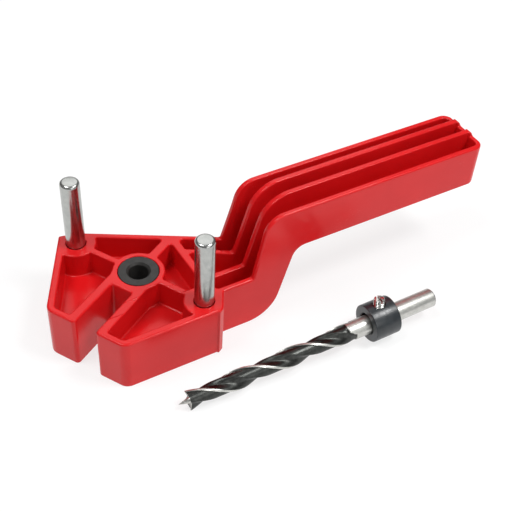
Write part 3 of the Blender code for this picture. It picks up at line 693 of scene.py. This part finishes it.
class Finish:
    """A Principled material and short calls that add procedural nodes to it."""

    def __init__(self, name, roughness, metallic, **fixed):
        self.material = bpy.data.materials.new(name)
        self.material.use_nodes = True
        self.tree = self.material.node_tree
        self.shader = self.tree.nodes["Principled BSDF"]
        self.shader.inputs["Roughness"].default_value = roughness
        self.shader.inputs["Metallic"].default_value = metallic
        for socket, value in fixed.items():
            self.shader.inputs[socket.replace("_", " ")].default_value = value
        self.place = self.attribute("place", "Vector")

    def link(self, source, node, socket):
        self.tree.links.new(source, node.inputs[socket])

    def stretched(self, scale):
        node = self.tree.nodes.new("ShaderNodeMapping")
        node.inputs["Scale"].default_value = scale
        self.link(self.place, node, "Vector")
        return node.outputs["Vector"]

    def noise(self, scale, detail=3.0, roughness=0.5, place=None):
        node = self.tree.nodes.new("ShaderNodeTexNoise")
        node.inputs["Scale"].default_value = scale
        node.inputs["Detail"].default_value = detail
        node.inputs["Roughness"].default_value = roughness
        self.link(place or self.place, node, "Vector")
        return node.outputs["Fac"]

    def spread(self, source, low, high, to_low, to_high):
        node = self.tree.nodes.new("ShaderNodeMapRange")
        for socket, value in (("From Min", low), ("From Max", high),
                              ("To Min", to_low), ("To Max", to_high)):
            node.inputs[socket].default_value = value
        self.link(source, node, "Value")
        return node.outputs["Result"]

    def ramp(self, source, stops):
        node = self.tree.nodes.new("ShaderNodeValToRGB")
        elements = node.color_ramp.elements
        while len(elements) < len(stops):
            elements.new(0.5)
        for element, (position, colour) in zip(elements, stops):
            element.position = position
            element.color = (*colour, 1.0)
        self.link(source, node, "Fac")
        return node.outputs["Color"]

    def mix(self, factor, first, second):
        node = self.tree.nodes.new("ShaderNodeMix")
        node.data_type = "RGBA"
        self.link(factor, node, 0)
        for index, value in ((6, first), (7, second)):
            if isinstance(value, tuple):
                node.inputs[index].default_value = (*value, 1.0)
            else:
                self.tree.links.new(value, node.inputs[index])
        return node.outputs[2]

    def math(self, operation, first, second):
        node = self.tree.nodes.new("ShaderNodeMath")
        node.operation = operation
        for index, value in enumerate((first, second)):
            if isinstance(value, float):
                node.inputs[index].default_value = value
            else:
                self.tree.links.new(value, node.inputs[index])
        return node.outputs["Value"]

    def bump(self, height, distance, strength=1.0, before=None):
        node = self.tree.nodes.new("ShaderNodeBump")
        node.inputs["Distance"].default_value = distance
        node.inputs["Strength"].default_value = strength
        self.link(height, node, "Height")
        if before is not None:
            self.link(before, node, "Normal")
        return node.outputs["Normal"]

    def attribute(self, name, output="Fac"):
        node = self.tree.nodes.new("ShaderNodeAttribute")
        node.attribute_name = name
        return node.outputs[output]

    def colour(self, source):
        self.link(source, self.shader, "Base Color")

    def roughness(self, source):
        self.link(source, self.shader, "Roughness")

    def normal(self, source):
        self.link(source, self.shader, "Normal")


def red_plastic():
    """Glossy moulded plastic: flow marks in its colour, faint sink waves and fine scuffs."""
    red = Finish("moulded_red", 0.30, 0.0, IOR=1.47, Specular_IOR_Level=0.32)
    flow = red.noise(40.0, 3.0, 0.5)
    cloud = red.noise(110.0, 2.0, 0.5)
    red.colour(red.ramp(flow, [(0.25, (0.600, 0.0070, 0.0090)),
                               (0.75, (0.690, 0.0105, 0.0125))]))
    scuff = red.noise(900.0, 4.0, 0.7, red.stretched((1.0, 4.0, 2.5)))
    patchy = red.spread(cloud, 0.30, 0.70, 0.15, 0.25)
    red.roughness(red.math("ADD", patchy, red.spread(scuff, 0.55, 0.80, 0.0, 0.08)))
    waves = red.bump(red.noise(55.0, 1.0, 0.4), 0.0004, 0.5)
    red.normal(red.bump(red.noise(1600.0, 2.0, 0.5), 0.00001, 0.2, waves))
    return red.material


def ground_steel():
    """Bright ground bar with fine drawn lines along it and a few rubbed patches."""
    steel = Finish("ground_steel", 0.20, 1.0)
    lines = steel.noise(200.0, 4.0, 0.6, steel.stretched((1.6, 1.6, 0.25)))
    patch = steel.noise(380.0, 3.0, 0.55)
    steel.colour(steel.ramp(patch, [(0.30, (0.40, 0.41, 0.40)), (0.70, (0.47, 0.48, 0.46))]))
    steel.roughness(steel.spread(lines, 0.30, 0.70, 0.19, 0.25))
    steel.normal(steel.bump(lines, 0.000004, 0.05))
    return steel.material


def black_steel(name, low, high, roughness, marks_scale, index):
    """Blackened turned steel; low and high are its darkest and lightest greys, index its IOR."""
    black = Finish(name, roughness, 0.0, IOR=index)
    cloud = black.noise(420.0, 4.0, 0.6)
    black.colour(black.ramp(cloud, [(0.30, low), (0.70, high)]))
    marks = black.noise(300.0, 4.0, 0.6, black.stretched(marks_scale))
    black.roughness(black.spread(marks, 0.30, 0.70, roughness - 0.07, roughness + 0.08))
    black.normal(black.bump(marks, 0.00001, 0.2))
    return black.material


def drill_steel():
    """Dark flutes and lands, bright ground margins, point and shank."""
    steel = Finish("drill_steel", 0.25, 1.0)
    ground = steel.attribute("ground")
    cloud = steel.noise(600.0, 4.0, 0.6)
    dark = steel.ramp(cloud, [(0.30, (0.040, 0.042, 0.040)), (0.70, (0.070, 0.072, 0.068))])
    bright = steel.ramp(cloud, [(0.30, (0.52, 0.52, 0.49)), (0.70, (0.64, 0.64, 0.61))])
    steel.colour(steel.mix(ground, dark, bright))
    streaks = steel.noise(520.0, 4.0, 0.6, steel.stretched((1.0, 1.0, 0.12)))
    rough = steel.spread(streaks, 0.30, 0.70, 0.30, 0.42)
    steel.roughness(steel.math("ADD", rough, steel.spread(ground, 0.0, 1.0, 0.0, 0.06)))
    steel.normal(steel.bump(streaks, 0.00002, 0.4))
    return steel.material


def zinc_steel():
    """Plated screw with a fine grain."""
    zinc = Finish("zinc_steel", 0.25, 1.0)
    grain = zinc.noise(2200.0, 4.0, 0.6)
    zinc.colour(zinc.ramp(grain, [(0.30, (0.52, 0.52, 0.50)), (0.70, (0.74, 0.74, 0.71))]))
    zinc.roughness(zinc.spread(grain, 0.30, 0.70, 0.16, 0.28))
    zinc.normal(zinc.bump(grain, 0.00002, 0.3))
    return zinc.material


# -------------------------------------------------------- pieces in place

def place(obj, material, slot, body, *nodes):
    """Gives a piece its finish and body, and lets it stand for its CAD nodes."""
    obj.data.materials.clear()
    obj.data.materials.append(material)
    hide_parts(*nodes)
    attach(obj, body)


pin_steel = ground_steel()
place(make_body(), red_plastic(), "moulded_red", "jig", "jig_body")
place(make_bush(),
      black_steel("blackened_steel", (0.016, 0.015, 0.014), (0.030, 0.028, 0.026),
                  0.38, (14.0, 14.0, 1.0), 1.42),
      "blackened_steel", "jig", "drill_bush")
place(make_pin("ground_pin_left", "guide_pin_left"), pin_steel,
      "ground_steel", "jig", "guide_pin_left")
place(make_pin("ground_pin_right", "guide_pin_right"), pin_steel,
      "ground_steel", "jig", "guide_pin_right")
place(make_drill(), drill_steel(), "drill_steel", "drill", "drill_bit")
place(make_collar(),
      black_steel("black_oxide", (0.006, 0.009, 0.012), (0.010, 0.016, 0.021),
                  0.34, (0.6, 0.6, 3.0), 1.62),
      "black_oxide", "collar", "stop_collar")
place(make_screw(), zinc_steel(), "zinc_steel", "screw", "set_screw")


# ------------------------------------------------------ floor, light, camera

AIM_HEIGHT = 0.02
CAMERA_FROM_BUSH = (-0.21965, -0.16125, 0.26895)       # from the bush axis at the work face
CAMERA_RIGHT = (0.48659786, -0.87217690, 0.05029886)
CAMERA_UP = (0.58605218, 0.36857990, 0.72158971)
CAMERA_BACK = (-0.64789302, -0.32164625, 0.69049136)


def make_floor():
    """Pale floor that glows a little, just under the rest face."""
    half, drop = 3.0, 0.0001
    shape = bmesh.new()
    bmesh.ops.create_grid(shape, x_segments=1, y_segments=1, size=half)
    mesh = bpy.data.meshes.new("floor")
    shape.to_mesh(mesh)
    shape.free()
    floor = add_object("floor", mesh)
    settle(floor, Matrix.Translation((0.0, 0.0, -drop)))
    pale = Finish("pale_floor", 0.65, 0.0, Specular_IOR_Level=0.2,
                  Emission_Color=(1.0, 1.0, 1.0, 1.0), Emission_Strength=0.75)
    cloud = pale.noise(3.0, 3.0, 0.5)
    pale.colour(pale.ramp(cloud, [(0.3, (0.235, 0.235, 0.235)), (0.7, (0.250, 0.250, 0.250))]))
    mesh.materials.append(pale.material)


def add_softbox(name, direction, distance, size, watts):
    """Square white light that faces the middle of the object, AIM_HEIGHT above the floor."""
    light = bpy.data.lights.new(name, "AREA")
    light.shape = "SQUARE"
    light.size = size
    light.energy = watts
    obj = add_object(name, light)
    direction = Vector(direction).normalized()
    obj.location = direction * distance + Vector((0.0, 0.0, AIM_HEIGHT))
    obj.rotation_euler = direction.to_track_quat("Z", "Y").to_euler()


def make_world(horizon, zenith):
    """Plain studio surround, brighter overhead."""
    world = bpy.data.worlds.new("studio")
    world.use_nodes = True
    nodes, links = world.node_tree.nodes, world.node_tree.links
    split = nodes.new("ShaderNodeSeparateXYZ")
    links.new(nodes.new("ShaderNodeTexCoord").outputs["Generated"], split.inputs["Vector"])
    rise = nodes.new("ShaderNodeMapRange")
    rise.interpolation_type = "SMOOTHSTEP"
    rise.inputs["From Min"].default_value, rise.inputs["From Max"].default_value = 0.0, 1.0
    rise.inputs["To Min"].default_value, rise.inputs["To Max"].default_value = horizon, zenith
    links.new(split.outputs["Z"], rise.inputs["Value"])
    background = nodes["Background"]
    background.inputs["Color"].default_value = (1.0, 1.0, 1.0, 1.0)
    links.new(rise.outputs["Result"], background.inputs["Strength"])
    bpy.context.scene.world = world


def make_camera():
    camera = bpy.data.cameras.new("camera")
    camera.lens, camera.sensor_width = 66.42, 36.0
    camera.clip_start, camera.clip_end = 0.01, 20.0
    obj = add_object("camera", camera)
    pose = Matrix((CAMERA_RIGHT, CAMERA_UP, CAMERA_BACK)).transposed().to_4x4()
    pose.translation = (Vector((BUSH_AXIS.x, BUSH_AXIS.y, HEAD_THICK))
                        + Vector(CAMERA_FROM_BUSH))
    obj.matrix_world = pose
    bpy.context.scene.camera = obj


make_floor()
make_world(horizon=0.18, zenith=0.28)
add_softbox("softbox_left", (-0.29, 0.29, 0.91), 1.0, 0.34, 3.9)
add_softbox("softbox_right", (0.17, -0.46, 0.87), 1.0, 0.30, 5.8)
add_softbox("softbox_back", (0.55, 0.40, 0.73), 1.2, 0.70, 2.0)
add_softbox("softbox_front", (-0.40, -0.80, 0.45), 1.2, 0.60, 2.6)
make_camera()
bpy.context.scene.view_settings.view_transform = "Standard"

bpy.context.view_layer.update()
